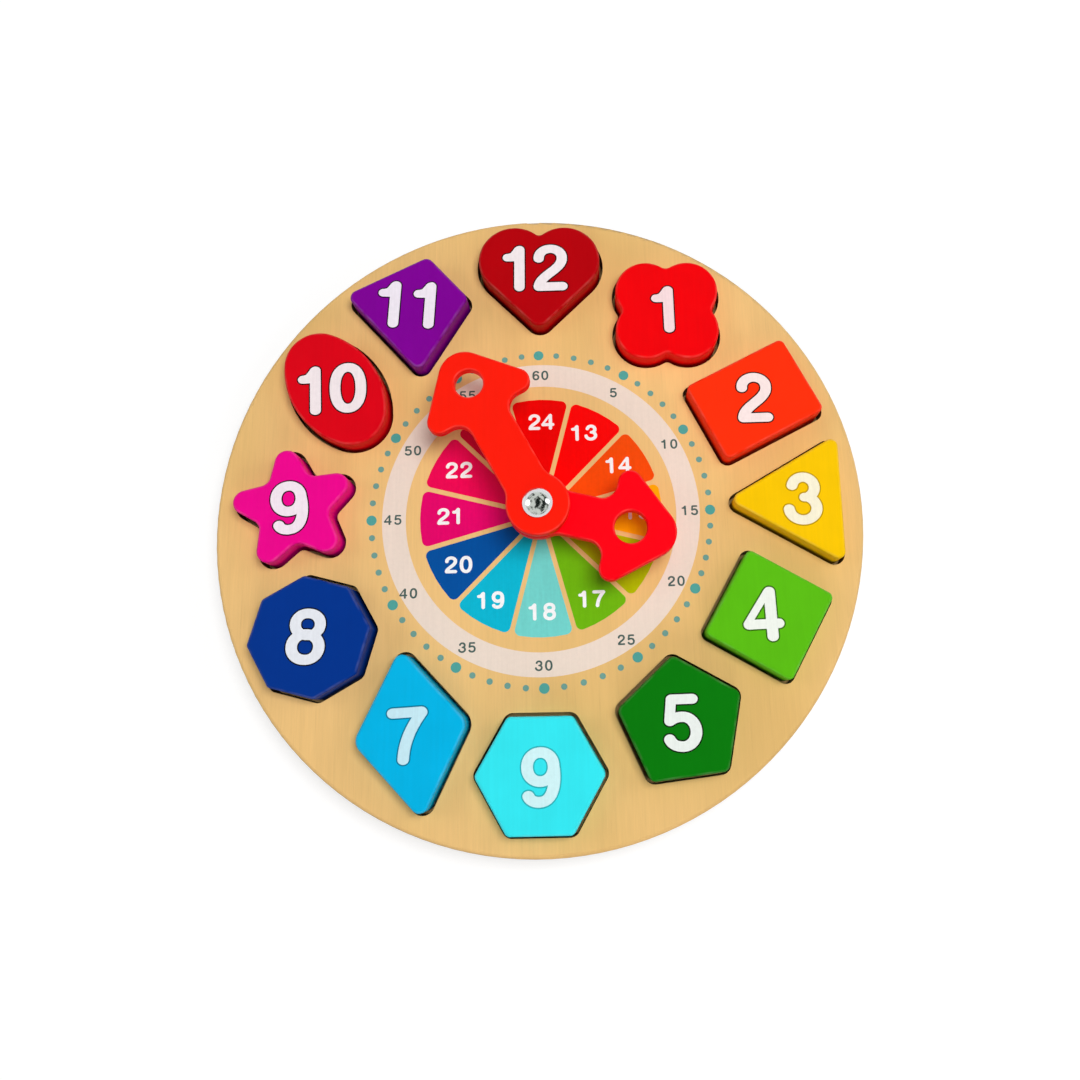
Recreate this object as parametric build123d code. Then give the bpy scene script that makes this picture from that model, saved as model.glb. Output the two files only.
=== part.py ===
from build123d import *
import math
import os

# Wooden teaching clock that is also a shape sorter. It lies on its back: +Z comes out of
# the dial, +Y points to 12 o'clock and +X to 3 o'clock. The origin is the middle of the
# back face. All sizes are in millimetres and all angles in degrees.

# Two round boards, glued face to face
BLOCK_RING_RADIUS = 84.0       # dial centre to the middle of a block
BLOCK_RING_TO_RIM = 27.0
BACK_THICKNESS = 4.0
FACE_THICKNESS = 9.0           # also the depth of the block pockets
RIM_ROUNDING = 1.5
HOUR_STEP = 360.0 / 12
BOARD_RADIUS = BLOCK_RING_RADIUS + BLOCK_RING_TO_RIM
FACE_TOP = BACK_THICKNESS + FACE_THICKNESS

# What all twelve blocks share
BLOCK_PROUD = 7.2              # how far a seated block stands above the face
POCKET_CLEARANCE = 1.2         # all round a block
BLOCK_TOP_ROUNDING = 1.0
BLOCK_FOOT_ROUNDING = 0.5
BLOCK_TOP = FACE_TOP + BLOCK_PROUD

# Outline of each block. The radii of the many-sided ones reach to their sharp corners.
HEART_LOBE_RADIUS = 12.8
HEART_LOBE_SPACING = 17.8
HEART_LENGTH = 39.5            # top of the lobes to the tip, before it is rounded
HEART_TIP_ROUNDING = 4.0
HEART_NOTCH_ROUNDING = 2.0
CLOVER_LEAF_RADIUS = 10.9
CLOVER_LEAF_SPACING = 14.7
CLOVER_NOTCH_ROUNDING = 3.0
OBLONG_LENGTH = 38.8
OBLONG_WIDTH = 29.6
OBLONG_CORNER = 2.2
TRIANGLE_RADIUS = 26.0
TRIANGLE_CORNER = 2.5
SQUARE_SIDE = 32.0
SQUARE_CORNER = 2.0
PENTAGON_RADIUS = 21.2
PENTAGON_CORNER = 2.5
HEXAGON_RADIUS = 21.0
HEXAGON_CORNER = 2.2
RHOMBUS_LENGTH = 54.1
RHOMBUS_WIDTH = 37.0
RHOMBUS_END_CORNER = 2.8
RHOMBUS_SIDE_CORNER = 4.5
OCTAGON_RADIUS = 20.2
OCTAGON_CORNER = 1.8
STAR_TIPS = 5
STAR_TIP_RADIUS = 27.2
STAR_WAIST_RADIUS = 11.9
STAR_TIP_ROUNDING = 4.1
STAR_WAIST_ROUNDING = 3.7
OVAL_LENGTH = 45.0
OVAL_WIDTH = 30.4
OVAL_END_RADIUS = 11.8
TRAPEZIUM_TOP = 21.8
TRAPEZIUM_BASE = 39.8
TRAPEZIUM_HEIGHT = 31.1
TRAPEZIUM_CORNER = 2.8

# Hands: a round hub, a straight shaft and a broad arrowhead with a finger hole
HAND_THICKNESS = 4.5
HAND_EDGE_ROUNDING = 0.8
HUB_RADIUS = 10.5
SHAFT_WIDTH = 14.8
ARROW_WIDTH = 47.0             # between the sharp back corners
ARROW_LENGTH = 27.4            # back edge to the sharp tip
ARROW_BARB_ROUNDING = 4.0
ARROW_TIP_ROUNDING = 8.7
ARROW_NECK_ROUNDING = 5.0
HUB_NECK_ROUNDING = 6.0
HOUR_ARROW_BASE = 23.7         # pivot to the arrow's back edge
HOUR_FINGER_HOLE_RADIUS = 5.4
HOUR_FINGER_HOLE_INSET = 7.4   # arrow's back edge to the hole's centre
HOUR_HAND_ANGLE = 104.5        # clockwise from 12 o'clock
MINUTE_ARROW_BASE = 36.2
MINUTE_FINGER_HOLE_RADIUS = 4.8
MINUTE_FINGER_HOLE_INSET = 11.0
MINUTE_HAND_ANGLE = 331.7

# Pivot: a domed screw through both hands, a collar under them and a flanged nut behind
HAND_OVER_BLOCKS = 3.3         # hour hand's underside above the blocks' tops
COLLAR_RADIUS = 8.0
WASHER_RADIUS = 7.5
LOWER_WASHER_THICKNESS = 0.8
MIDDLE_WASHER_THICKNESS = 1.0
SCREW_RADIUS = 2.5
SCREW_HEAD_RADIUS = 4.9
SCREW_HEAD_RIM = 0.8           # straight side under the dome
SCREW_DOME_HEIGHT = 2.2
SCREW_END_HEIGHT = 2.5         # above the back face
RUNNING_CLEARANCE = 0.05       # hand on screw, all round
COLLAR_CLEARANCE = 0.2         # collar and washers on screw, all round
THREAD_CLEARANCE = 0.05
NUT_WALL = 1.25
NUT_BARREL_TOP_GAP = 1.0       # below the face board's top
NUT_FLANGE_WIDTH = 3.2         # beyond the barrel
NUT_FLANGE_THICKNESS = 1.2
NUT_FLANGE_DEPTH = 0.3         # sunk below the back face
NUT_CLEARANCE = 0.1

# Heights of the pivot stack. The collar lifts the hands over the blocks.
HOUR_HAND_BOTTOM = BLOCK_TOP + HAND_OVER_BLOCKS
COLLAR_TOP = HOUR_HAND_BOTTOM - LOWER_WASHER_THICKNESS
HOUR_HAND_TOP = HOUR_HAND_BOTTOM + HAND_THICKNESS
MINUTE_HAND_BOTTOM = HOUR_HAND_TOP + MIDDLE_WASHER_THICKNESS
MINUTE_HAND_TOP = MINUTE_HAND_BOTTOM + HAND_THICKNESS
SCREW_TOP = MINUTE_HAND_TOP + SCREW_HEAD_RIM + SCREW_DOME_HEIGHT
NUT_FLANGE_TOP = NUT_FLANGE_DEPTH + NUT_FLANGE_THICKNESS
NUT_BARREL_TOP = FACE_TOP - NUT_BARREL_TOP_GAP
NUT_BARREL_RADIUS = SCREW_RADIUS + THREAD_CLEARANCE + NUT_WALL
NUT_FLANGE_RADIUS = NUT_BARREL_RADIUS + NUT_FLANGE_WIDTH


def clock_point(radius, clock_angle):
    """Point on the dial plane, by its angle clockwise from 12 o'clock."""
    angle = math.radians(clock_angle)
    return radius * math.sin(angle), radius * math.cos(angle)


def raised(outline, bottom, top):
    """Flat outline made into a solid between two heights."""
    return extrude(Pos(0, 0, bottom) * outline, amount=top - bottom, dir=(0, 0, 1))


def disc(radius, bottom, top):
    return raised(Circle(radius), bottom, top)


def round_corners(outline, rounding, *places):
    """Round the outline's corner that is nearest to each place."""
    found = [outline.vertices().sort_by_distance((x, y, 0))[0] for x, y in places]
    return fillet(found, rounding)


def third_side(longest, other):
    """Third side of a right-angled triangle."""
    return math.sqrt(longest**2 - other**2)


def rounded_regular(side_count, radius, rounding, turn=0.0):
    """Regular polygon with one corner turned anticlockwise from +Y."""
    outline = Rot(0, 0, 90 + turn) * RegularPolygon(radius, side_count)
    return fillet(outline.vertices(), rounding)


# ---- block outlines, each about its own middle ----

def heart():
    half_spacing = HEART_LOBE_SPACING / 2
    lobe_height = HEART_LENGTH / 2 - HEART_LOBE_RADIUS
    tip_height = -HEART_LENGTH / 2
    tip_to_lobe = math.hypot(half_spacing, lobe_height - tip_height)
    tangent_length = third_side(tip_to_lobe, HEART_LOBE_RADIUS)
    lobe_direction = math.atan2(lobe_height - tip_height, half_spacing)
    side_direction = lobe_direction - math.asin(HEART_LOBE_RADIUS / tip_to_lobe)
    side_x = tangent_length * math.cos(side_direction)
    side_y = tip_height + tangent_length * math.sin(side_direction)
    point = Polygon(
        (0, tip_height), (side_x, side_y), (half_spacing, lobe_height),
        (-half_spacing, lobe_height), (-side_x, side_y), align=None,
    )
    lobes = [Pos(side * half_spacing, lobe_height) * Circle(HEART_LOBE_RADIUS) for side in (-1, 1)]
    notch_height = lobe_height + third_side(HEART_LOBE_RADIUS, half_spacing)
    outline = round_corners(point + lobes, HEART_TIP_ROUNDING, (0, tip_height))
    return round_corners(outline, HEART_NOTCH_ROUNDING, (0, notch_height))


def clover():
    leaf_offset = CLOVER_LEAF_SPACING / 2
    leaves = [
        Pos(across * leaf_offset, along * leaf_offset) * Circle(CLOVER_LEAF_RADIUS)
        for across in (-1, 1) for along in (-1, 1)
    ]
    outline = Rectangle(CLOVER_LEAF_SPACING, CLOVER_LEAF_SPACING) + leaves
    notch = leaf_offset + third_side(CLOVER_LEAF_RADIUS, leaf_offset)
    return round_corners(
        outline, CLOVER_NOTCH_ROUNDING, (0, notch), (0, -notch), (notch, 0), (-notch, 0)
    )


def oblong():
    return RectangleRounded(OBLONG_LENGTH, OBLONG_WIDTH, OBLONG_CORNER)


def triangle():
    return rounded_regular(3, TRIANGLE_RADIUS, TRIANGLE_CORNER)


def square():
    return RectangleRounded(SQUARE_SIDE, SQUARE_SIDE, SQUARE_CORNER)


def pentagon():
    return rounded_regular(5, PENTAGON_RADIUS, PENTAGON_CORNER)


def hexagon():
    flat_side_up = 180.0 / 6
    return rounded_regular(6, HEXAGON_RADIUS, HEXAGON_CORNER, turn=flat_side_up)


def rhombus():
    half_length = RHOMBUS_LENGTH / 2
    half_width = RHOMBUS_WIDTH / 2
    outline = Polygon(
        (0, half_length), (-half_width, 0), (0, -half_length), (half_width, 0), align=None
    )
    outline = round_corners(outline, RHOMBUS_END_CORNER, (0, half_length), (0, -half_length))
    return round_corners(outline, RHOMBUS_SIDE_CORNER, (half_width, 0), (-half_width, 0))


def octagon():
    return rounded_regular(8, OCTAGON_RADIUS, OCTAGON_CORNER)


def star():
    step = 360.0 / STAR_TIPS
    tips = [clock_point(STAR_TIP_RADIUS, step * number) for number in range(STAR_TIPS)]
    waists = [clock_point(STAR_WAIST_RADIUS, step * (number + 0.5)) for number in range(STAR_TIPS)]
    in_turn = [point for tip_and_waist in zip(tips, waists) for point in tip_and_waist]
    outline = round_corners(Polygon(*in_turn, align=None), STAR_TIP_ROUNDING, *tips)
    return round_corners(outline, STAR_WAIST_ROUNDING, *waists)


def oval():
    """Four arcs that run smoothly into each other, longer along X."""
    half_length = OVAL_LENGTH / 2
    half_width = OVAL_WIDTH / 2
    end_centre = half_length - OVAL_END_RADIUS
    width_left = half_width - OVAL_END_RADIUS
    side_radius = (end_centre**2 + half_width**2 - OVAL_END_RADIUS**2) / (2 * width_left)
    side_centre = half_width - side_radius
    reach = side_radius / (side_radius - OVAL_END_RADIUS)
    join_x = end_centre * reach
    join_y = side_centre * (1 - reach)
    far = ThreePointArc((-join_x, join_y), (0, half_width), (join_x, join_y))
    right = ThreePointArc((join_x, join_y), (half_length, 0), (join_x, -join_y))
    near = ThreePointArc((join_x, -join_y), (0, -half_width), (-join_x, -join_y))
    left = ThreePointArc((-join_x, -join_y), (-half_length, 0), (-join_x, join_y))
    return make_face(far + right + near + left)


def trapezium():
    half_height = TRAPEZIUM_HEIGHT / 2
    outline = Polygon(
        (-TRAPEZIUM_BASE / 2, -half_height), (TRAPEZIUM_BASE / 2, -half_height),
        (TRAPEZIUM_TOP / 2, half_height), (-TRAPEZIUM_TOP / 2, half_height), align=None,
    )
    return fillet(outline.vertices(), TRAPEZIUM_CORNER)


# The blocks from 1 o'clock to 12 o'clock: shape, outline, how far the block is past its
# hour, how far outside the ring, and how far its outline is turned anticlockwise
BLOCKS = [
    ("clover", clover, 2.9, 1.1, -1.2),
    ("oblong", oblong, 3.4, 0.1, 26.0),
    ("triangle", triangle, -1.0, 5.3, 89.0),
    ("square", square, -3.7, -0.4, -30.8),
    ("pentagon", pentagon, -2.3, -1.0, 5.8),
    ("hexagon", hexagon, 1.0, 1.1, -0.9),
    ("rhombus", rhombus, 1.1, -1.6, 8.2),
    ("octagon", octagon, 2.8, 1.6, 6.5),
    ("star", star, 2.8, -0.6, 9.4),
    ("oval", oval, 3.1, 0.1, 124.6),
    ("trapezium", trapezium, 0.5, 3.4, -48.3),
    ("heart", heart, 0.7, 1.2, -1.0),
]


def block_place(hour, past_hour, outward, turn):
    """Where a block's own outline sits on the board."""
    x, y = clock_point(BLOCK_RING_RADIUS + outward, hour * HOUR_STEP + past_hour)
    return Pos(x, y) * Rot(0, 0, turn)


def make_block(outline, place):
    block = raised(place * outline, BACK_THICKNESS, BLOCK_TOP)
    block = fillet(block.faces().sort_by(Axis.Z)[-1].edges(), BLOCK_TOP_ROUNDING)
    return fillet(block.faces().sort_by(Axis.Z)[0].edges(), BLOCK_FOOT_ROUNDING)


def make_face_board(places_and_outlines):
    board = disc(BOARD_RADIUS, BACK_THICKNESS, FACE_TOP)
    board = fillet(board.edges().sort_by(Axis.Z)[-1], RIM_ROUNDING)
    for place, outline in places_and_outlines:
        pocket = place * offset(outline, amount=POCKET_CLEARANCE, kind=Kind.ARC)
        board -= raised(pocket, BACK_THICKNESS, FACE_TOP)
    return board - disc(NUT_BARREL_RADIUS + NUT_CLEARANCE, BACK_THICKNESS, FACE_TOP)


def make_back_board():
    board = disc(BOARD_RADIUS, 0, BACK_THICKNESS)
    board = fillet(board.edges().sort_by(Axis.Z)[0], RIM_ROUNDING)
    board -= disc(NUT_BARREL_RADIUS + NUT_CLEARANCE, 0, BACK_THICKNESS)
    return board - disc(NUT_FLANGE_RADIUS + NUT_CLEARANCE, 0, NUT_FLANGE_TOP)


def hand_outline(arrow_base, hole_inset, hole_radius):
    """Hand pointing along +Y from its pivot."""
    hub = Circle(HUB_RADIUS)
    shaft = Pos(0, arrow_base / 2) * Rectangle(SHAFT_WIDTH, arrow_base)
    arrow = Polygon(
        (-ARROW_WIDTH / 2, arrow_base), (ARROW_WIDTH / 2, arrow_base),
        (0, arrow_base + ARROW_LENGTH), align=None,
    )
    arrow = round_corners(arrow, ARROW_TIP_ROUNDING, (0, arrow_base + ARROW_LENGTH))
    arrow = round_corners(
        arrow, ARROW_BARB_ROUNDING, (-ARROW_WIDTH / 2, arrow_base), (ARROW_WIDTH / 2, arrow_base)
    )
    outline = hub + shaft + arrow
    neck = SHAFT_WIDTH / 2
    outline = round_corners(outline, ARROW_NECK_ROUNDING, (-neck, arrow_base), (neck, arrow_base))
    hub_neck_height = third_side(HUB_RADIUS, neck)
    outline = round_corners(
        outline, HUB_NECK_ROUNDING, (-neck, hub_neck_height), (neck, hub_neck_height)
    )
    return outline - Pos(0, arrow_base + hole_inset) * Circle(hole_radius)


def make_hand(outline, clock_angle, bottom, top):
    hand = raised(Rot(0, 0, -clock_angle) * outline, bottom, top)
    hand = fillet(hand.faces().filter_by(Axis.Z).edges(), HAND_EDGE_ROUNDING)
    return hand - disc(SCREW_RADIUS + RUNNING_CLEARANCE, bottom, top)


def ring(radius, bottom, top):
    """Collar or washer round the screw."""
    return disc(radius, bottom, top) - disc(SCREW_RADIUS + COLLAR_CLEARANCE, bottom, top)


def make_screw():
    dome_radius = (SCREW_HEAD_RADIUS**2 + SCREW_DOME_HEIGHT**2) / (2 * SCREW_DOME_HEIGHT)
    dome = Pos(0, 0, SCREW_TOP - dome_radius) * Sphere(dome_radius)
    head = disc(SCREW_HEAD_RADIUS, MINUTE_HAND_TOP, SCREW_TOP) & dome
    return head + disc(SCREW_RADIUS, SCREW_END_HEIGHT, MINUTE_HAND_TOP)


def make_nut():
    barrel = disc(NUT_BARREL_RADIUS, NUT_FLANGE_DEPTH, NUT_BARREL_TOP)
    flange = disc(NUT_FLANGE_RADIUS, NUT_FLANGE_DEPTH, NUT_FLANGE_TOP)
    thread = disc(SCREW_RADIUS + THREAD_CLEARANCE, NUT_FLANGE_DEPTH, NUT_BARREL_TOP)
    return barrel + flange - thread


def build_parts():
    """Every sub-part, by its node name."""
    parts = {}
    places_and_outlines = []
    for hour, (shape_name, draw, past_hour, outward, turn) in enumerate(BLOCKS, start=1):
        outline = draw()
        place = block_place(hour, past_hour, outward, turn)
        places_and_outlines.append((place, outline))
        parts[f"block_{hour:02d}_{shape_name}"] = make_block(outline, place)
    parts["face_board"] = make_face_board(places_and_outlines)
    parts["back_board"] = make_back_board()
    parts["pivot_collar"] = ring(COLLAR_RADIUS, FACE_TOP, COLLAR_TOP)
    parts["lower_washer"] = ring(WASHER_RADIUS, COLLAR_TOP, HOUR_HAND_BOTTOM)
    hour_outline = hand_outline(HOUR_ARROW_BASE, HOUR_FINGER_HOLE_INSET, HOUR_FINGER_HOLE_RADIUS)
    parts["hour_hand"] = make_hand(hour_outline, HOUR_HAND_ANGLE, HOUR_HAND_BOTTOM, HOUR_HAND_TOP)
    parts["middle_washer"] = ring(WASHER_RADIUS, HOUR_HAND_TOP, MINUTE_HAND_BOTTOM)
    minute_outline = hand_outline(
        MINUTE_ARROW_BASE, MINUTE_FINGER_HOLE_INSET, MINUTE_FINGER_HOLE_RADIUS
    )
    parts["minute_hand"] = make_hand(
        minute_outline, MINUTE_HAND_ANGLE, MINUTE_HAND_BOTTOM, MINUTE_HAND_TOP
    )
    parts["pivot_screw"] = make_screw()
    parts["pivot_nut"] = make_nut()
    return parts


os.makedirs("parts", exist_ok=True)
for node_name, solid in build_parts().items():
    export_step(solid, f"parts/{node_name}.step")
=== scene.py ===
"""Looks of the wooden teaching clock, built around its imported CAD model.

Lengths are in millimetres on the dial: X to the right, Y towards 12 o'clock and Z up.
Meshes are made in metres, so each length is multiplied by MM once. The studio's own sizes
are in metres already.
"""

import math

import bmesh
import bpy
from mathutils import Euler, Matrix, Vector
from mathutils.geometry import delaunay_2d_cdt


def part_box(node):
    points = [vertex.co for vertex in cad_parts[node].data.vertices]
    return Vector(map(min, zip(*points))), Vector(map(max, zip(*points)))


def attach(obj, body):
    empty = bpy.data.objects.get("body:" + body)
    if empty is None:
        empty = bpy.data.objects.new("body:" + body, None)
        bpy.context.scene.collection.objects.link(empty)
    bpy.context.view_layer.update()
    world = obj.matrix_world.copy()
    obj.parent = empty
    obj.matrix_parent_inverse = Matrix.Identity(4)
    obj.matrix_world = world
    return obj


MM = 0.001
HOURS = 12
HOUR_ANGLE = 360 / HOURS
MINUTES = 60

# Print on the face board.
PRINT_DEPTH = 0.04
DOTS_RADIUS = 58.1
HOUR_DOT_SIZE = 3.5
MINUTE_DOT_SIZE = 2.1
RING_INNER = 46.4
RING_OUTER = 54.5
MINUTE_NUMBERS_RADIUS = 50.7
SECTOR_RADIUS = 41.5
SECTOR_GAP = 1.6
SECTOR_ROUNDING = 2.0
SECTOR_UNDER_COLLAR = 0.3
LABELS_RADIUS = 33.0
LABELS_RAISED = 0.33
# How far the printed hours are to the right of their even places and above them. The rest: 0.
LABEL_SLIPS = {
    13: (-1.0, 0.0), 14: (-1.4, 0.0), 17: (0.0, -1.0), 18: (-0.3, -0.3), 19: (-1.0, -0.3),
    20: (0.3, 0.0), 21: (2.0, 0.3), 22: (0.4, 0.0), 24: (0.7, 0.0),
}
# How far the printed minutes have slipped clockwise, in degrees. The others are even.
MINUTE_DRIFT = {5: 1.2, 20: -2.4, 25: -2.4}
# How far their numbers are then to the right of their places and above them. The rest: 0.
MINUTE_NUMBER_SLIPS = {
    10: (1.25, -1.5), 15: (0.4, 0.0), 20: (0.3, -0.7), 25: (0.4, -0.4), 40: (-1.1, 0.0),
    50: (-0.4, -1.0), 60: (0.5, -0.1),
}

# Size of a printed digit, the gap between two, and the pen's stems and bars.
LABEL_DIGITS = {"height": 5.7, "width": 4.3, "gap": 0.7, "stem": 1.2, "bar": 1.1}
MINUTE_DIGITS = {"height": 3.4, "width": 2.5, "gap": 0.7, "stem": 0.64, "bar": 0.58}

# Numbers on the blocks: the pen draws stems this wide and bars this thick.
STEM = 3.7
BAR = 3.2
NUMERAL_DEPTH = 0.10
OUTLINE = 0.45
OUTLINE_DEPTH = 0.04

# Colours.
WOOD = "#EEC27E"
WOOD_PATCH = "#D8B066"
BACK_WOOD = "#DDB880"
COLLAR_WOOD = "#D9AE6C"
# Painted shade laid on the pockets' walls, for the dark gaps round the blocks.
POCKET_SHADE_TONE = "#1C120A"
# Paler tone of the paint's rounded edges: partly rubbed thin, partly a painted highlight.
EDGE_WEAR_AND_HIGHLIGHT = "#FFF4E0"
INK_WHITE = "#F7F7F8"
INK_DARK = "#0A0808"
RING_INK = "#ECDACB"
MINUTE_NUMBER_INK = "#4C615C"
HOUR_DOT_INK = "#52A39B"
MINUTE_DOT_INK = "#6F9F94"
PAINTS = {
    1: "#F20008", 2: "#FE2F08", 3: "#F7C401", 4: "#5ABB12", 5: "#08770B", 6: "#35E8F2",
    7: "#01B5E7", 8: "#01348D", 9: "#F1018F", 10: "#DD0116", 11: "#800096", 12: "#B4000A",
}
SECTOR_INKS = {
    12: "#EA0000", 1: "#FD0001", 2: "#F54D05", 3: "#FFA800", 4: "#AAB400", 5: "#6CB40E",
    6: "#72D3CC", 7: "#07B6D2", 8: "#014F9D", 9: "#E5006A", 10: "#EB0254", 11: "#D00038",
}
HOUR_HAND_PAINT = "#FF0014"
MINUTE_HAND_PAINT = "#FF1B08"

# Share of a block's paint that shows through its number, and of black in the outline.
PAINT_IN_NUMERAL = {1: 0.12, 2: 0.10, 3: 0.15, 6: 0.20, 7: 0.20}
USUAL_PAINT_IN_NUMERAL = 0.06
BLACK_IN_OUTLINE = {3: 0.25, 4: 0.50, 6: 0.25, 7: 0.35}
USUAL_BLACK_IN_OUTLINE = 0.85

# Plies of the boards. The pockets' walls lie at least RIM_LEFT inside the rim, and their painted
# shade fades out over the width below beyond that.
PLY = 1.5
RIM_LEFT = 2.8
POCKET_SHADE_FADE = 2.0
POCKET_SHADE_SHARE = 0.75

# Digits on each block: character, place from the middle of the block, and lean to the left.
NUMERALS = {
    1: [("1", 0.55, 0.0, 0.0)],
    2: [("2", -0.05, -0.05, 0.0)],
    3: [("3", 5.1, 0.05, -1.5)],
    4: [("4", -1.25, 0.05, 1.0)],
    5: [("5", 0.5, -1.4, 0.0)],
    6: [("9", 0.4, -0.45, 0.0)],
    7: [("7", -0.35, -0.9, 2.0)],
    8: [("8", -0.5, 0.0, -5.0)],
    9: [("9", 0.2, -0.85, 7.0)],
    10: [("1", -6.5, -0.9, 2.5), ("0", 4.7, -0.2, 2.8)],
    11: [("1", -4.75, 3.05, -3.5), ("1", 7.7, 2.25, -3.5)],
    12: [("1", -7.05, 2.7, -0.5), ("2", 4.2, 2.6, 0.0)],
}

# Studio, in metres and watts. The floor lies just under the board, so that the two don't share
# a plane, and its glow grows from the near distance to the far one.
FLOOR_HEIGHT = -0.0001
FLOOR_RADIUS = 4.0
FLOOR_NEAR = 0.12
FLOOR_FAR = 1.2
GLOW_NEAR = 0.65
GLOW_FAR = 0.96
CEILING_HEIGHT = 1.2
CEILING_RADIUS = 3.0
WORLD_LEVEL = 0.10
# Place, power and width of each lamp, and whether the chrome mirrors it.
LAMPS = {
    "key_lamp": ((0.24, 0.08, 0.92), 6.8, 0.52, False),
    "front_lamp": ((0.10, -0.90, 0.45), 2.0, 0.50, False),
    "right_lamp": ((0.75, 0.20, 0.50), 0.9, 0.40, True),
    "left_lamp": ((-0.75, 0.10, 0.50), 1.1, 0.45, True),
}

# Camera: place, lens and sensor in millimetres, turn in degrees, and shift in frame widths.
CAMERA_PLACE = (19.356, -67.533, 350.689)
CAMERA_TURN = (14.369, -0.562, -2.015)
CAMERA_LENS = 33.333
CAMERA_SENSOR = 36.0
CAMERA_SHIFT = (-0.0687, -0.0743)
CAMERA_NEAREST = 10.0


# ---------------------------------------------------------------- digits

def arc(centre, across, along, first, last):
    """Part of an ellipse from one angle to another, in degrees from +X."""
    degrees_each = 9
    steps = max(4, round(abs(last - first) / degrees_each))
    angles = [math.radians(first + (last - first) * step / steps) for step in range(steps + 1)]
    return [(centre[0] + across * math.cos(a), centre[1] + along * math.sin(a)) for a in angles]


def bend(start, pull_start, pull_end, end):
    """Curve from start to end, drawn towards the two pulls."""
    steps = 14
    points = []
    for step in range(steps + 1):
        t = step / steps
        weights = ((1 - t)**3, 3 * t * (1 - t)**2, 3 * t**2 * (1 - t), t**3)
        corners = (start, pull_start, pull_end, end)
        points.append(tuple(sum(w * c[axis] for w, c in zip(weights, corners)) for axis in (0, 1)))
    return points


def loop(centre, across, along, squareness):
    """Closed ring. A squareness of 2 is an ellipse, and more fills its corners."""
    steps = 48
    points = []
    for step in range(steps):
        a = math.tau * step / steps
        c, s = math.cos(a), math.sin(a)
        points.append((
            centre[0] + across * math.copysign(abs(c)**(2 / squareness), c),
            centre[1] + along * math.copysign(abs(s)**(2 / squareness), s),
        ))
    return points + points[:1]


def digit_strokes():
    """Each digit as strokes of (centre-line, share of the pen's width), about its own middle."""
    nine = [
        (loop((-0.2, 3.1), 4.2, 4.4, 2.1), 1.0),
        (bend((4.0, 3.1), (4.6, -0.8), (4.2, -7.5), (-0.6, -7.5))
         + bend((-0.6, -7.5), (-2.4, -7.5), (-3.6, -6.8), (-4.1, -5.6))[1:], 1.0),
    ]
    return {
        "0": [(loop((0, 0), 4.45, 7.45, 2.25), 1.0)],
        "1": [
            ([(0, -7.2), (0, 7.2)], 1.0),
            ([(-4.3, 4.3), (-0.4, 4.3)], 0.92),
            (bend((-3.4, 4.45), (-2.0, 4.6), (-1.4, 5.6), (-0.3, 7.2)), 0.9),
        ],
        "2": [
            (arc((-0.15, 4.0), 4.15, 3.45, 184, 0)
             + bend((4.0, 4.0), (4.5, -0.6), (-4.0, -2.7), (-4.4, -7.0))[1:], 1.0),
            ([(-4.4, -7.2), (4.0, -7.2)], 1.0),
        ],
        "3": [
            (arc((-0.1, 3.75), 3.8, 3.6, 168, -60), 1.0),
            (arc((-0.5, -3.35), 4.7, 4.1, 62, -175), 1.0),
            ([(0.15, 0.35), (1.9, 0.35)], 0.92),
        ],
        "4": [
            ([(1.6, -7.3), (1.6, 7.3)], 1.0),
            ([(0.9, 7.4), (-6.5, -3.0)], 0.68),
            ([(-5.95, -3.2), (3.9, -3.2)], 0.97),
        ],
        "5": [
            ([(-3.2, 7.2), (3.55, 7.2)], 0.97),
            ([(-3.3, 7.1), (-4.05, 0.7)], 0.9),
            (bend((-3.9, 0.55), (-2.6, 1.5), (-1.0, 1.7), (0.1, 1.7))
             + arc((0.1, -2.9), 4.3, 4.6, 90, -90)[1:]
             + bend((0.1, -7.5), (-2.0, -7.5), (-3.6, -6.7), (-4.2, -5.2))[1:], 1.0),
        ],
        "6": [([(-x, -y) for x, y in path], share) for path, share in nine],
        "7": [
            ([(-5.0, 7.2), (4.2, 7.2)], 0.98),
            (bend((4.3, 7.0), (1.0, 2.8), (-1.5, -1.5), (-1.9, -7.2)), 0.98),
        ],
        "8": [
            (loop((0, 3.95), 4.05, 3.55, 2.1), 0.97),
            (loop((0, -3.35), 4.45, 4.1, 2.1), 1.0),
        ],
        "9": nine,
    }


DIGITS = digit_strokes()
# Usual size of a digit's centre-lines.
DIGIT_LINE_HEIGHT = 14.4
DIGIT_LINE_WIDTH = 8.9


def placed(character, x, y, lean, wide=1.0, tall=1.0):
    """A digit's strokes, scaled, leaned to the left by some degrees and moved to a place."""
    c, s = math.cos(math.radians(lean)), math.sin(math.radians(lean))
    return [
        ([(x + px * wide * c - py * tall * s, y + px * wide * s + py * tall * c)
          for px, py in path], share)
        for path, share in DIGITS[character]
    ]


def number(value, x, y, height, width, gap, stem, bar):
    """Flat outline of a small upright number of even digits, centred on a place."""
    wide = (width - stem) / DIGIT_LINE_WIDTH
    tall = (height - bar) / DIGIT_LINE_HEIGHT
    pitch = width + gap
    digits = str(value)
    first = x - pitch * (len(digits) - 1) / 2
    strokes = [
        stroke
        for place, character in enumerate(digits)
        for stroke in placed(character, first + pitch * place, y, 0, wide, tall)
    ]
    return drawn(strokes, stem, bar)


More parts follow.
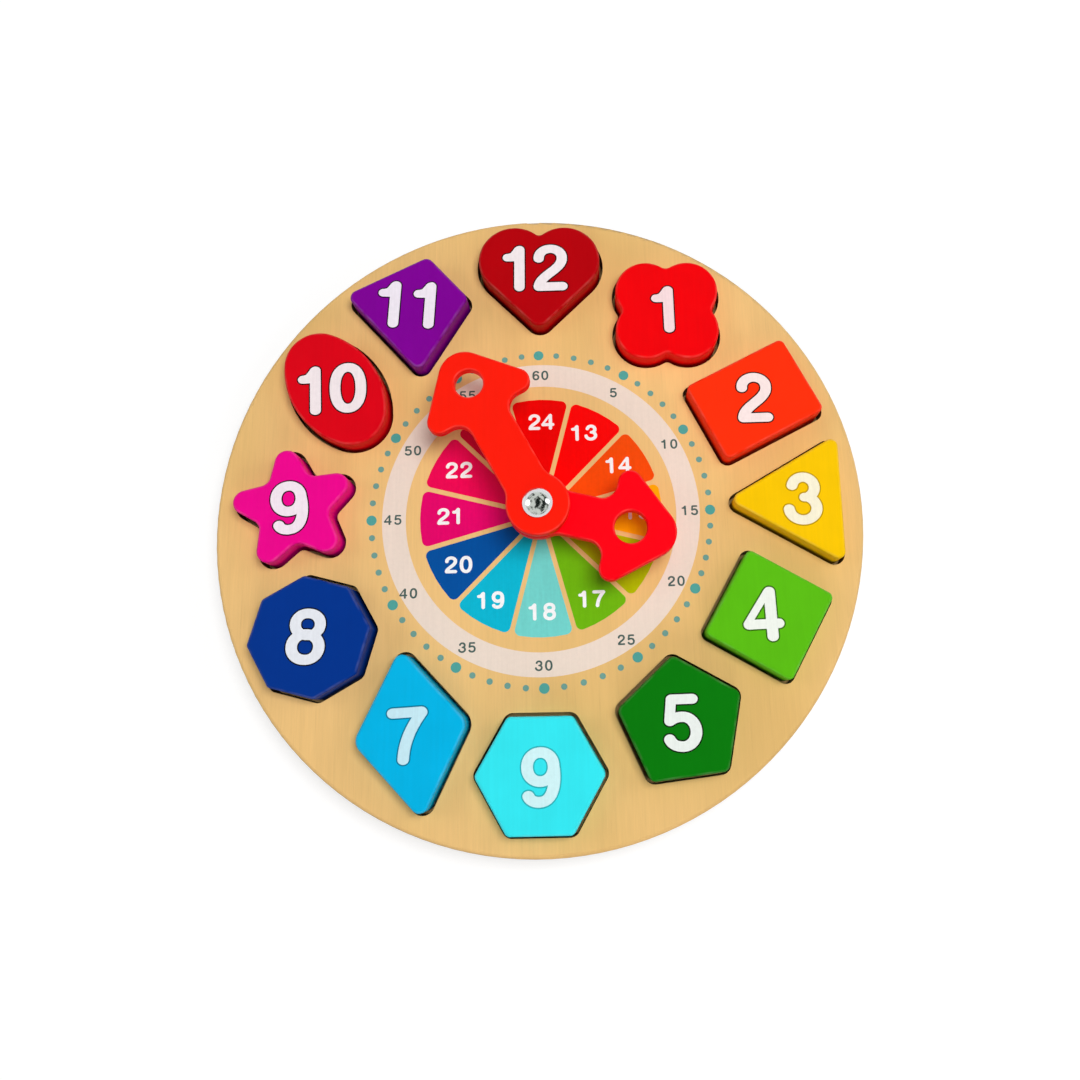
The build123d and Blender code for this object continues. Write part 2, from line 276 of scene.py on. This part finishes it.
def swept(path, radius):
    """Points and faces of a line along a path, with a disc at each end of an open one."""
    closed = path[0] == path[-1]
    line = [Vector(p) for p in (path[:-1] if closed else path)]
    count = len(line)
    points, faces = [], []
    for i, p in enumerate(line):
        before = line[i - 1] if closed or i else p
        after = line[(i + 1) % count] if closed or i < count - 1 else p
        ahead = (after - before).normalized()
        side = Vector((-ahead.y, ahead.x)) * radius
        points += [p - side, p + side]
    for i in range(count if closed else count - 1):
        j = (i + 1) % count
        faces.append([2 * i, 2 * j, 2 * j + 1, 2 * i + 1])
    for end in [] if closed else [line[0], line[-1]]:
        rim, disc_face = dot(end.x, end.y, 2 * radius)
        faces += [[len(points) + corner for corner in face] for face in disc_face]
        points += [Vector(p) for p in rim]
    return points, faces


def drawn(strokes, stem, bar, extra=0.0):
    """One flat outline, as points and triangles, of strokes drawn with an oval pen."""
    across, along = stem + 2 * extra, bar + 2 * extra
    squeeze = across / along
    points, faces = [], []
    for path, share in strokes:
        radius = (stem * share + 2 * extra) / 2
        more, quads = swept([(x, y * squeeze) for x, y in path], radius)
        faces += [[corner + len(points) for corner in quad] for quad in quads]
        points += more
    merged = delaunay_2d_cdt(points, [], faces, 0, 1e-4)
    inked = [list(face) for face, source in zip(merged[2], merged[5]) if source]
    return [(p.x, p.y / squeeze) for p in merged[0]], inked


# ---------------------------------------------------------------- meshes

def slab(name, flats, bottom, top, body, material):
    """A thin piece with upright sides over flat shapes, riding on a body."""
    corners, faces = [], []
    for points, shape in flats:
        low, high = len(corners), len(corners) + len(points)
        corners += [(x * MM, y * MM, z * MM) for z in (bottom, top) for x, y in points]
        edges = {(a, b) for face in shape for a, b in zip(face, face[1:] + face[:1])}
        sides = [(a, b) for a, b in edges if (b, a) not in edges]
        faces += [[high + corner for corner in face] for face in shape]
        faces += [[low + corner for corner in reversed(face)] for face in shape]
        faces += [[low + a, low + b, high + b, high + a] for a, b in sorted(sides)]
    mesh = bpy.data.meshes.new(name)
    mesh.from_pydata(corners, [], faces)
    drop_unused(mesh)
    mesh.materials.append(material)
    piece = bpy.data.objects.new(name, mesh)
    bpy.context.scene.collection.objects.link(piece)
    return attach(piece, body)


def drop_unused(mesh):
    """Removes points that no face uses."""
    work = bmesh.new()
    work.from_mesh(mesh)
    loose = [v for v in work.verts if not v.link_faces]
    bmesh.ops.delete(work, geom=loose, context="VERTS")
    work.to_mesh(mesh)
    work.free()


def dial_place(hour, radius):
    """The point at an hour's direction and a distance from the middle of the dial."""
    a = math.radians(90 - hour * HOUR_ANGLE)
    return radius * math.cos(a), radius * math.sin(a)


def minute_place(minute, radius):
    """The point at a printed minute, with the print's slip shared out between the fives."""
    five = minute - minute % 5
    before = MINUTE_DRIFT.get(five, 0.0)
    after = MINUTE_DRIFT.get(five + 5, 0.0)
    slip = before + (after - before) * (minute % 5) / 5
    return dial_place(minute / 5 + slip / HOUR_ANGLE, radius)


def ring(inner, outer):
    """Flat ring about the middle of the dial."""
    steps = 180
    points = []
    for step in range(steps):
        c, s = math.cos(math.tau * step / steps), math.sin(math.tau * step / steps)
        points += [(inner * c, inner * s), (outer * c, outer * s)]
    faces = []
    for i in range(steps):
        j = (i + 1) % steps
        faces.append([2 * i, 2 * i + 1, 2 * j + 1, 2 * j])
    return points, faces


def dot(x, y, size):
    """Flat disc at a place."""
    steps = 24
    points = [
        (x + size / 2 * math.cos(math.tau * step / steps),
         y + size / 2 * math.sin(math.tau * step / steps))
        for step in range(steps)
    ]
    return points, [list(range(steps))]


def sector(hour, inner, outer, gap, rounding):
    """Flat slice of the dial with rounded outer corners, and half a gap left on each side."""
    half = HOUR_ANGLE / 2
    aim = 90 - hour * HOUR_ANGLE
    corner_side = gap / 2 + rounding
    corner_reach = math.sqrt((outer - rounding)**2 - corner_side**2)
    corner_turn = half - math.degrees(math.atan2(corner_side, corner_reach))

    def along_side(turn, reach, inset):
        a = math.radians(aim + turn)
        sign = math.copysign(1, turn)
        return (reach * math.cos(a) + sign * inset * math.sin(a),
                reach * math.sin(a) - sign * inset * math.cos(a))

    points = [along_side(-half, inner, gap / 2)]
    points += arc(along_side(-half, corner_reach, corner_side), rounding, rounding,
                  aim - half - 90, aim - corner_turn)
    points += arc((0, 0), outer, outer, aim - corner_turn, aim + corner_turn)[1:]
    points += arc(along_side(half, corner_reach, corner_side), rounding, rounding,
                  aim + corner_turn, aim + half + 90)[1:]
    points += [along_side(half, inner, gap / 2)]
    return points, [list(range(len(points)))]


# ---------------------------------------------------------------- materials

def colour(written, share=1.0):
    """Linear RGBA of a colour written as #RRGGBB, times a share."""
    channels = [int(written[i:i + 2], 16) / 255 for i in (1, 3, 5)]
    linear = [c / 12.92 if c <= 0.04045 else ((c + 0.055) / 1.055)**2.4 for c in channels]
    return [min(1.0, c * share) for c in linear] + [1.0]


def between(first, second, share):
    """The colour some share of the way from one to another, all written as #RRGGBB."""
    pairs = [(int(first[i:i + 2], 16), int(second[i:i + 2], 16)) for i in (1, 3, 5)]
    return "#" + "".join(f"{round(a + (b - a) * share):02X}" for a, b in pairs)


def node(tree, kind, inputs=None, **settings):
    """A shader node with its settings, and its inputs set or linked by name or number."""
    made = tree.nodes.new(kind)
    for key, value in settings.items():
        setattr(made, key, value)
    for key, value in (inputs or {}).items():
        if isinstance(value, bpy.types.NodeSocket):
            tree.links.new(value, made.inputs[key])
        else:
            made.inputs[key].default_value = value
    return made


def maths(tree, operation, first, second=0.0):
    """The result of one Math node."""
    return node(tree, "ShaderNodeMath", {0: first, 1: second}, operation=operation).outputs[0]


def weighed(tree, first, share, second):
    """A share of one value and the rest of another, added."""
    return maths(tree, "ADD", maths(tree, "MULTIPLY", first, share),
                 maths(tree, "MULTIPLY", second, 1 - share))


def mix(tree, share, first, second):
    """Two colours mixed."""
    made = node(tree, "ShaderNodeMix", {0: share, 6: first, 7: second}, data_type="RGBA")
    return made.outputs[2]


def noise(tree, coords, scale, detail, roughness=0.55):
    """Grey cloud pattern with this many features to the metre."""
    made = node(tree, "ShaderNodeTexNoise", {
        "Vector": coords, "Scale": scale, "Detail": detail, "Roughness": roughness,
    })
    return made.outputs[0]


def spread(tree, value, low, high, to_low=0.0, to_high=1.0):
    """A value stretched from one range to another, and held inside it."""
    made = node(tree, "ShaderNodeMapRange", {
        "Value": value, "From Min": low, "From Max": high, "To Min": to_low, "To Max": to_high,
    })
    return made.outputs[0]


def local(tree):
    """Coordinates that stay with the piece, in metres."""
    return node(tree, "ShaderNodeTexCoord").outputs["Object"]


def along_y(tree, coords, stretch):
    """Coordinates stretched along Y, the way that the wood's fibres run."""
    made = node(tree, "ShaderNodeMapping", {"Vector": coords, "Scale": (1, 1 / stretch, 1)})
    return made.outputs[0]


def distance(tree, coords):
    """How far a place is from the middle of the board's back, in metres."""
    return node(tree, "ShaderNodeVectorMath", {0: coords}, operation="LENGTH").outputs["Value"]


def upright(tree):
    """1 on faces that point up or down, and 0 on walls."""
    normal = node(tree, "ShaderNodeNewGeometry").outputs["Normal"]
    z = node(tree, "ShaderNodeSeparateXYZ", {0: normal}).outputs[2]
    return maths(tree, "ABSOLUTE", z)


def surfaced(tree, shader, tone, rough, height, depth, strength):
    """Gives the shader its colour, roughness, and relief of some depth in millimetres."""
    relief = node(tree, "ShaderNodeBump", {
        "Height": height, "Distance": depth * MM, "Strength": strength,
    })
    tree.links.new(tone, shader.inputs["Base Color"])
    tree.links.new(rough, shader.inputs["Roughness"])
    tree.links.new(relief.outputs[0], shader.inputs["Normal"])


def new_material(name, **sockets):
    """A material, its node tree and its shader, with plain socket values."""
    made = bpy.data.materials.new(name)
    made.use_nodes = True
    shader = made.node_tree.nodes["Principled BSDF"]
    for key, value in sockets.items():
        shader.inputs[key.replace("_", " ")].default_value = value
    return made, made.node_tree, shader


def wood(name, tone, contrast=1.0, pocket_shade_within=0.0):
    """Fine-grained pale wood, with the layers of plywood on its walls.

    The walls within some millimetres of the middle are darkened with painted shade, for the shadow
    in the gaps round the blocks.
    """
    made, tree, shader = new_material(name, Specular_IOR_Level=0.15)
    coords = local(tree)
    fibres = noise(tree, along_y(tree, coords, 26), 1500, 5, 0.6)
    bands = noise(tree, along_y(tree, coords, 10), 70, 3)
    pores = spread(tree, noise(tree, along_y(tree, coords, 45), 3200, 2), 0.60, 0.72)
    patches = spread(tree, noise(tree, along_y(tree, coords, 2), 18, 2), 0.48, 0.72)
    grain = weighed(tree, fibres, 0.5, bands)
    spread_grain = spread(tree, grain, 0.5 - 0.16 / contrast, 0.5 + 0.16 / contrast)
    flat = mix(tree, spread_grain, colour(tone, 0.93), colour(tone, 1.05))
    flat = mix(tree, maths(tree, "MULTIPLY", patches, 0.5), flat, colour(WOOD_PATCH))
    flat = mix(tree, maths(tree, "MULTIPLY", pores, 0.10), flat, colour(tone, 0.55))
    facing = spread(tree, upright(tree), 0.05, 0.40)
    shown = mix(tree, facing, plies(tree, coords, tone, pocket_shade_within), flat)
    rough = spread(tree, grain, 0.3, 0.7, 0.62, 0.46)
    surfaced(tree, shader, shown, rough, maths(tree, "SUBTRACT", fibres, pores), 0.03, 0.5)
    return made


def plies(tree, coords, tone, pocket_shade_within):
    """Tone of the boards' walls: light and dark plies, with painted shade within some millimetres.
    """
    height = node(tree, "ShaderNodeSeparateXYZ", {0: coords}).outputs[2]
    layers = maths(tree, "FRACT", maths(tree, "MULTIPLY", height, 1 / (2 * PLY * MM)))
    from_middle = maths(tree, "ABSOLUTE", maths(tree, "SUBTRACT", layers, 0.5))
    speckle = noise(tree, coords, 1800, 4)
    light = mix(tree, speckle, colour(tone, 0.74), colour(tone, 0.98))
    dark = mix(tree, speckle, colour(tone, 0.46), colour(tone, 0.70))
    walls = mix(tree, spread(tree, from_middle, 0.22, 0.28), light, dark)
    if not pocket_shade_within:
        return walls
    # Painted shade: the pockets' walls darken towards the middle of the board.
    inside = spread(tree, distance(tree, coords), (pocket_shade_within + POCKET_SHADE_FADE) * MM,
                    pocket_shade_within * MM, 0.0, POCKET_SHADE_SHARE)
    return mix(tree, inside, walls, colour(POCKET_SHADE_TONE))


def paint(name, tone):
    """Satin paint on wood: faint fibres show through it, and its rounded edges are paler, partly
    rubbed thin and partly a painted highlight.
    """
    made, tree, shader = new_material(name, Specular_IOR_Level=0.08)
    coords = local(tree)
    fibres = noise(tree, along_y(tree, coords, 22), 900, 4)
    clouds = noise(tree, coords, 90, 2)
    peel = noise(tree, coords, 1400, 2)
    blend = weighed(tree, fibres, 0.45, clouds)
    coat = mix(tree, spread(tree, blend, 0.35, 0.65), colour(tone, 0.96), colour(tone, 1.03))
    facing = upright(tree)
    rounded = maths(tree, "MULTIPLY", spread(tree, facing, 0.25, 0.6),
                    spread(tree, facing, 0.995, 0.9))
    # Paler rounded edges in patches: partly rubbed paint, partly a painted highlight.
    edge_rub_and_highlight = maths(tree, "MULTIPLY", rounded, spread(tree, noise(tree, coords, 200, 2), 0.35, 0.8))
    pale = mix(tree, 0.14, colour(tone), colour(EDGE_WEAR_AND_HIGHLIGHT))
    rubbed_and_highlit = mix(tree, maths(tree, "MULTIPLY", edge_rub_and_highlight, 0.5), coat, pale)
    rough = spread(tree, noise(tree, coords, 500, 3), 0.3, 0.7, 0.41, 0.53)
    surfaced(tree, shader, rubbed_and_highlit, rough, weighed(tree, peel, 0.6, fibres), 0.02, 0.4)
    return made


def ink(name, tone, mottle=0.05):
    """Printed ink: a thin matt film with a slightly uneven cover."""
    made, tree, shader = new_material(name, Specular_IOR_Level=0.10)
    coords = local(tree)
    cover = noise(tree, coords, 700, 4, 0.6)
    fibres = noise(tree, along_y(tree, coords, 24), 1500, 3)
    blend = weighed(tree, cover, 0.5, fibres)
    film = mix(tree, spread(tree, blend, 0.35, 0.65), colour(tone, 1 - mottle),
               colour(tone, 1 + mottle))
    surfaced(tree, shader, film, spread(tree, cover, 0.3, 0.7, 0.5, 0.6), blend, 0.01, 0.5)
    return made


def chrome(name):
    """Polished chrome with fine rubbing marks."""
    made, tree, shader = new_material(name, Metallic=1.0)
    coords = local(tree)
    rubbed = noise(tree, coords, 2200, 5, 0.7)
    tone = mix(tree, rubbed, colour("#C9CACC"), colour("#E9EAEC"))
    surfaced(tree, shader, tone, spread(tree, rubbed, 0.3, 0.7, 0.07, 0.17), rubbed, 0.01, 0.3)
    return made


def steel(name):
    """Zinc-plated steel, a little blotched."""
    made, tree, shader = new_material(name, Metallic=1.0)
    coords = local(tree)
    blotches = noise(tree, coords, 380, 4, 0.6)
    tone = mix(tree, blotches, colour("#8E9094"), colour("#BDBFC2"))
    rough = spread(tree, blotches, 0.3, 0.7, 0.28, 0.45)
    surfaced(tree, shader, tone, rough, noise(tree, coords, 3000, 3), 0.01, 0.4)
    return made


def nylon(name):
    """Milky moulded nylon."""
    made, tree, shader = new_material(name, Subsurface_Weight=0.15, Specular_IOR_Level=0.4)
    shader.inputs["Subsurface Radius"].default_value = (0.6 * MM, 0.6 * MM, 0.5 * MM)
    coords = local(tree)
    cloud = noise(tree, coords, 500, 3)
    tone = mix(tree, cloud, colour("#DCDAD2"), colour("#F0EEE8"))
    rough = spread(tree, cloud, 0.3, 0.7, 0.38, 0.5)
    surfaced(tree, shader, tone, rough, noise(tree, coords, 2400, 2), 0.01, 0.4)
    return made


# ---------------------------------------------------------------- the clock

def dress(nodes):
    """Gives each CAD node its material."""
    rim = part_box("face_board")[1].x / MM
    finishes = {
        "face_board": wood("face_wood", WOOD, pocket_shade_within=rim - RIM_LEFT),
        "back_board": wood("back_wood", BACK_WOOD, contrast=1.2),
        "pivot_collar": wood("collar_wood", COLLAR_WOOD),
        "hour_hand": paint("hour_paint", HOUR_HAND_PAINT),
        "minute_hand": paint("minute_paint", MINUTE_HAND_PAINT),
        "lower_washer": nylon("lower_nylon"),
        "middle_washer": nylon("middle_nylon"),
        "pivot_screw": chrome("screw_chrome"),
        "pivot_nut": steel("nut_steel"),
    }
    for name in nodes:
        if name.startswith("block_"):
            hour = int(name.split("_")[1])
            finishes[name] = paint(f"paint_{hour:02d}", PAINTS[hour])
    for name, finish in finishes.items():
        mesh = nodes[name].data
        mesh.materials.clear()
        mesh.materials.append(finish)


def middle(node_name):
    """Middle of a CAD node's box across the dial, and the height of its top, in millimetres."""
    low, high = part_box(node_name)
    return (low.x + high.x) / 2 / MM, (low.y + high.y) / 2 / MM, high.z / MM


def number_blocks(nodes):
    """Prints its number on each block, over a slightly wider dark outline."""
    for name in sorted(n for n in nodes if n.startswith("block_")):
        hour = int(name.split("_")[1])
        x, y, top = middle(name)
        tint = PAINT_IN_NUMERAL.get(hour, USUAL_PAINT_IN_NUMERAL)
        shade = BLACK_IN_OUTLINE.get(hour, USUAL_BLACK_IN_OUTLINE)
        white = ink(f"numeral_ink_{hour:02d}", between(INK_WHITE, PAINTS[hour], tint))
        edge = ink(f"outline_ink_{hour:02d}", between(PAINTS[hour], INK_DARK, shade))
        strokes = [
            stroke
            for character, right, up, lean in NUMERALS[hour]
            for stroke in placed(character, x + right, y + up, lean)
        ]
        slab(f"outline_{hour:02d}", [drawn(strokes, STEM, BAR, OUTLINE)],
             top - OUTLINE_DEPTH, top + OUTLINE_DEPTH, name, edge)
        slab(f"numeral_{hour:02d}", [drawn(strokes, STEM, BAR)],
             top - OUTLINE_DEPTH, top + NUMERAL_DEPTH, name, white)


def print_sectors(low, high):
    """Prints the twelve sectors of the later hours, and their numbers."""
    collar_low, collar_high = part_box("pivot_collar")
    inner = (collar_high.x - collar_low.x) / 2 / MM - SECTOR_UNDER_COLLAR
    white = ink("label_white", INK_WHITE)
    for hour in range(1, HOURS + 1):
        later = hour + HOURS
        shape = sector(hour, inner, SECTOR_RADIUS, SECTOR_GAP, SECTOR_ROUNDING)
        slab(f"sector_{later}", [shape], low, high, "board",
             ink(f"sector_ink_{later}", SECTOR_INKS[hour]))
        x, y = dial_place(hour, LABELS_RADIUS)
        right, up = LABEL_SLIPS.get(later, (0.0, 0.0))
        label = number(later, x + right, y + up + LABELS_RAISED, **LABEL_DIGITS)
        slab(f"label_{later}", [label], low, high + PRINT_DEPTH, "board", white)


def print_minutes(low, high):
    """Prints the minute ring with its numbers, and the dots around it."""
    slab("minute_ring", [ring(RING_INNER, RING_OUTER)], low, high, "board",
         ink("ring_ink", RING_INK, mottle=0.03))
    fives = range(5, MINUTES + 1, 5)
    others = [minute for minute in range(MINUTES) if minute % 5]
    numbers = []
    for minute in fives:
        x, y = minute_place(minute, MINUTE_NUMBERS_RADIUS)
        right, up = MINUTE_NUMBER_SLIPS.get(minute, (0.0, 0.0))
        numbers.append(number(minute, x + right, y + up, **MINUTE_DIGITS))
    slab("minute_numbers", numbers, low, high + PRINT_DEPTH, "board",
         ink("number_ink", MINUTE_NUMBER_INK))
    slab("hour_dots", [dot(*minute_place(m, DOTS_RADIUS), HOUR_DOT_SIZE) for m in fives],
         low, high, "board", ink("hour_dot_ink", HOUR_DOT_INK))
    slab("minute_dots", [dot(*minute_place(m, DOTS_RADIUS), MINUTE_DOT_SIZE) for m in others],
         low, high, "board", ink("minute_dot_ink", MINUTE_DOT_INK))


def print_dial():
    """Prints the markings of the face board, half sunk into it."""
    face = middle("face_board")[2]
    low, high = face - PRINT_DEPTH, face + PRINT_DEPTH
    print_sectors(low, high)
    print_minutes(low, high)


# ---------------------------------------------------------------- the studio

def stage_disc(name, radius, height, material):
    """A round panel of the stage that faces up, in metres."""
    points = [(radius * x, radius * y, height) for x, y in arc((0, 0), 1, 1, 0, 351)]
    mesh = bpy.data.meshes.new(name)
    mesh.from_pydata(points, [], [range(len(points))])
    mesh.materials.append(material)
    panel = bpy.data.objects.new(name, mesh)
    bpy.context.scene.collection.objects.link(panel)
    return panel


def seen_directly(tree):
    """1 for what the camera, a mirror or glass shows, and 0 for light on the object."""
    path = node(tree, "ShaderNodeLightPath")
    shown = maths(tree, "MAXIMUM", path.outputs["Is Camera Ray"], path.outputs["Is Glossy Ray"])
    return maths(tree, "MAXIMUM", shown, path.outputs["Is Transmission Ray"])


def floor_material():
    """Pale floor that reads as white, also where the lamps fade, and keeps the object's shadow."""
    made, tree, shader = new_material("floor_white", Roughness=0.9, Specular_IOR_Level=0.1)
    tone = mix(tree, noise(tree, local(tree), 6, 2), colour("#A6A6A6"), colour("#ACACAC"))
    tree.links.new(tone, shader.inputs["Base Color"])
    shader.inputs["Emission Color"].default_value = (1, 1, 1, 1)
    level = spread(tree, distance(tree, local(tree)), FLOOR_NEAR, FLOOR_FAR, GLOW_NEAR, GLOW_FAR)
    glow = maths(tree, "MULTIPLY", seen_directly(tree), level)
    tree.links.new(glow, shader.inputs["Emission Strength"])
    return made


def ceiling_material():
    """Blotched grey-green that the chrome mirrors."""
    made, tree, shader = new_material("ceiling_grey", Roughness=1.0, Specular_IOR_Level=0.0)
    shader.inputs["Base Color"].default_value = (0, 0, 0, 1)
    blotches = spread(tree, noise(tree, local(tree), 1.3, 3), 0.43, 0.49)
    tone = mix(tree, blotches, colour("#18201C"), colour("#E6ECE2"))
    tree.links.new(tone, shader.inputs["Emission Color"])
    shader.inputs["Emission Strength"].default_value = 1.0
    return made


def light_world(level):
    """Even light from all round, and a white background."""
    world = bpy.data.worlds.new("studio")
    bpy.context.scene.world = world
    world.use_nodes = True
    tree = world.node_tree
    background = tree.nodes["Background"]
    background.inputs["Color"].default_value = (1, 1, 1, 1)
    strength = spread(tree, seen_directly(tree), 0, 1, level, 1.0)
    tree.links.new(strength, background.inputs["Strength"])


def soft_lamp(name, place, power, width, mirrored):
    """Round soft lamp that faces the dial."""
    light = bpy.data.lights.new(name, "AREA")
    light.shape = "DISK"
    light.energy = power
    light.size = width
    lamp = bpy.data.objects.new(name, light)
    lamp.location = place
    lamp.rotation_euler = (-Vector(place)).to_track_quat("-Z", "Y").to_euler()
    lamp.visible_glossy = mirrored
    bpy.context.scene.collection.objects.link(lamp)


def build_camera():
    """The camera at the photograph's viewing angle."""
    camera = bpy.data.objects.new("camera", bpy.data.cameras.new("camera"))
    bpy.context.scene.collection.objects.link(camera)
    camera.location = [length * MM for length in CAMERA_PLACE]
    camera.rotation_euler = Euler([math.radians(angle) for angle in CAMERA_TURN])
    camera.data.sensor_width = CAMERA_SENSOR
    camera.data.lens = CAMERA_LENS
    camera.data.shift_x, camera.data.shift_y = CAMERA_SHIFT
    camera.data.clip_start = CAMERA_NEAREST * MM
    bpy.context.scene.camera = camera


def build_studio():
    """Floor, ceiling that only the chrome mirrors, world and lamps."""
    stage_disc("floor", FLOOR_RADIUS, FLOOR_HEIGHT, floor_material())
    ceiling = stage_disc("ceiling", CEILING_RADIUS, CEILING_HEIGHT, ceiling_material())
    ceiling.visible_camera = False
    ceiling.visible_diffuse = False
    ceiling.visible_transmission = False
    ceiling.visible_shadow = False
    light_world(WORLD_LEVEL)
    for name, (place, power, width, mirrored) in LAMPS.items():
        soft_lamp(name, place, power, width, mirrored)
    bpy.context.scene.view_settings.view_transform = "Standard"


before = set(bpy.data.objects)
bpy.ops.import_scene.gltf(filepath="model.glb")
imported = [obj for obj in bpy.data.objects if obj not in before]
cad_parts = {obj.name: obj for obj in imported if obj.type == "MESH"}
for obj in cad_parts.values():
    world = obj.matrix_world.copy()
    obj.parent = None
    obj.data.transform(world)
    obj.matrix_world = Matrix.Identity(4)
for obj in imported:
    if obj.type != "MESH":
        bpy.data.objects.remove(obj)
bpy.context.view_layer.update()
dress(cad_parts)
print_dial()
number_blocks(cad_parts)
build_studio()
build_camera()
